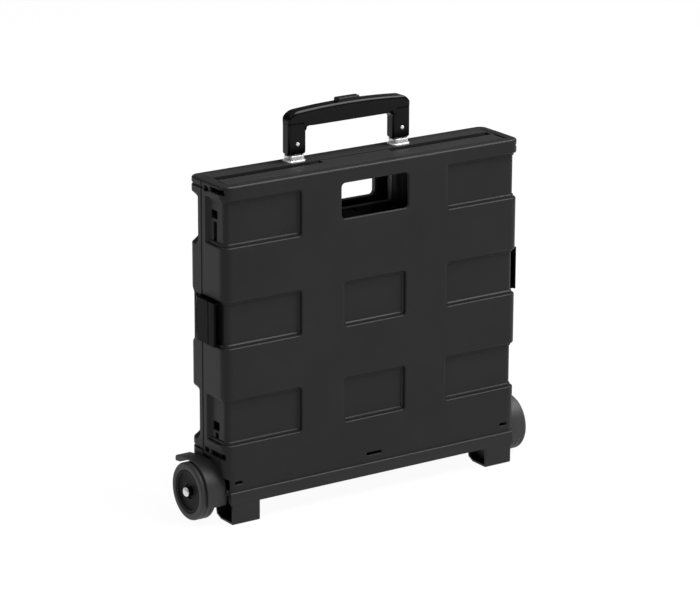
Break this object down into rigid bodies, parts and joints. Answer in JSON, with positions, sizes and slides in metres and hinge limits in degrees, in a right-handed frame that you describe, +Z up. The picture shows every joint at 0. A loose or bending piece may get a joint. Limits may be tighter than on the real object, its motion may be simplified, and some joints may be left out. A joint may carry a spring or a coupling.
{
  "type": "folding crate cart",
  "caption": "Hand cart that folds flat: moulded half shells joined by folding side walls, with a telescopic handle and wheels at the rear corners.",
  "frame": {"origin": "on the ground under the middle of the folded cart's box", "axes": "+Z up, -Y towards the front face, +X to the right seen from the front"},
  "size_m": [0.4672, 0.081, 0.4676],
  "materials": {
    "shell_plastic": "fine moulded texture, satin",
    "dark_plastic": "satin",
    "latch_plastic": "satin",
    "hub_plastic": "matte",
    "handle_gloss": "glossy",
    "tyre_rubber": "matte",
    "bright_steel": "polished",
    "plain_steel": "bright zinc"
  },
  "bodies": {
    "rear": {"rear_shell": "shell_plastic", "floor_panel": "shell_plastic", "floor_hinge_rod": "plain_steel", "rear_rod_left": "plain_steel", "rear_rod_right": "plain_steel", "outer_tube_left": "bright_steel", "outer_tube_right": "bright_steel", "tube_collar_left": "bright_steel", "tube_collar_right": "bright_steel", "tube_clamps": "dark_plastic", "axle": "plain_steel", "axle_cap_left": "bright_steel", "axle_cap_right": "bright_steel", "wheel_arch_left": "shell_plastic", "wheel_arch_right": "shell_plastic", "arch_screws": "plain_steel", "latch_pin_left": "plain_steel", "latch_pin_right": "plain_steel"},
    "left_rear_leaf": {"left_rear_leaf": "shell_plastic", "mid_rod_left": "plain_steel"},
    "left_front_leaf": {"left_front_leaf": "shell_plastic"},
    "right_rear_leaf": {"right_rear_leaf": "shell_plastic", "mid_rod_right": "plain_steel"},
    "right_front_leaf": {"right_front_leaf": "shell_plastic"},
    "front": {"front_shell": "shell_plastic", "foot_pads": "shell_plastic", "front_rod_left": "plain_steel", "front_rod_right": "plain_steel"},
    "wheel_left": {"hub_left": "hub_plastic", "tyre_left": "tyre_rubber"},
    "wheel_right": {"hub_right": "hub_plastic", "tyre_right": "tyre_rubber"},
    "latch_left": {"latch_left": "latch_plastic"},
    "latch_right": {"latch_right": "latch_plastic"},
    "handle_middle": {"middle_tube_left": "bright_steel", "middle_tube_right": "bright_steel", "middle_bush_left": "dark_plastic", "middle_bush_right": "dark_plastic"},
    "handle_top": {"inner_tube_left": "bright_steel", "inner_tube_right": "bright_steel", "grip_leg_left": "handle_gloss", "grip_leg_right": "handle_gloss", "grip_upper": "handle_gloss", "grip_lower": "handle_gloss", "grip_rivets": "bright_steel", "button_spring": "plain_steel"},
    "button": {"push_button": "handle_gloss", "push_yoke": "dark_plastic"},
    "lock_left": {"lock_pin_left": "plain_steel"},
    "lock_right": {"lock_pin_right": "plain_steel"}
  },
  "joints": [
    {"name": "fold", "type": "hinge", "parent": "rear", "child": "left_rear_leaf", "pos_m": [-0.187, 0.0005, 0.219], "axis": [0, 0, -1], "range_deg": [0, 90]},
    {"name": "left_mid", "type": "hinge", "parent": "left_rear_leaf", "child": "left_front_leaf", "pos_m": [-0.049, -0.0045, 0.219], "axis": [0, 0, 1], "range_deg": [0, 180]},
    {"name": "left_front", "type": "hinge", "parent": "left_front_leaf", "child": "front", "pos_m": [-0.187, -0.0095, 0.219], "axis": [0, 0, -1], "range_deg": [0, 90]},
    {"name": "right_rear", "type": "hinge", "parent": "rear", "child": "right_rear_leaf", "pos_m": [0.187, 0.0005, 0.219], "axis": [0, 0, 1], "range_deg": [0, 90]},
    {"name": "right_mid", "type": "hinge", "parent": "right_rear_leaf", "child": "right_front_leaf", "pos_m": [0.049, -0.0045, 0.219], "axis": [0, 0, -1], "range_deg": [0, 180]},
    {"name": "wheel_left_spin", "type": "hinge", "parent": "rear", "child": "wheel_left", "pos_m": [-0.2205, 0.0056, 0.034], "axis": [1, 0, 0], "continuous": true},
    {"name": "wheel_right_spin", "type": "hinge", "parent": "rear", "child": "wheel_right", "pos_m": [0.2205, 0.0056, 0.034], "axis": [1, 0, 0], "continuous": true},
    {"name": "latch_left_swing", "type": "hinge", "parent": "rear", "child": "latch_left", "pos_m": [-0.2068, 0.0125, 0.238], "axis": [0, 0, -1], "range_deg": [0, 90]},
    {"name": "latch_right_swing", "type": "hinge", "parent": "rear", "child": "latch_right", "pos_m": [0.2068, 0.0125, 0.238], "axis": [0, 0, 1], "range_deg": [0, 90]},
    {"name": "handle_stage_one", "type": "slide", "parent": "rear", "child": "handle_middle", "axis": [0, 0, 1], "range_m": [0, 0.27]},
    {"name": "handle_stage_two", "type": "slide", "parent": "handle_middle", "child": "handle_top", "axis": [0, 0, 1], "range_m": [0, 0.27]},
    {"name": "button_press", "type": "slide", "parent": "handle_top", "child": "button", "axis": [0, 0, -1], "range_m": [0, 0.0035], "stiffness_N_per_m": 1500, "springref_m": -0.001, "deforming": ["button_spring"]},
    {"name": "lock_left_slide", "type": "slide", "parent": "handle_top", "child": "lock_left", "axis": [1, 0, 0], "range_m": [0, 0.0025]},
    {"name": "lock_right_slide", "type": "slide", "parent": "handle_top", "child": "lock_right", "axis": [-1, 0, 0], "range_m": [0, 0.0025]}
  ],
  "couplings": [
    {"joint": "left_mid", "follows": "fold", "ratio": 2},
    {"joint": "left_front", "follows": "fold", "ratio": 1},
    {"joint": "right_rear", "follows": "fold", "ratio": 1},
    {"joint": "right_mid", "follows": "fold", "ratio": 2},
    {"joint": "lock_left_slide", "follows": "button_press", "ratio": 0.7142},
    {"joint": "lock_right_slide", "follows": "button_press", "ratio": 0.7142}
  ]
}
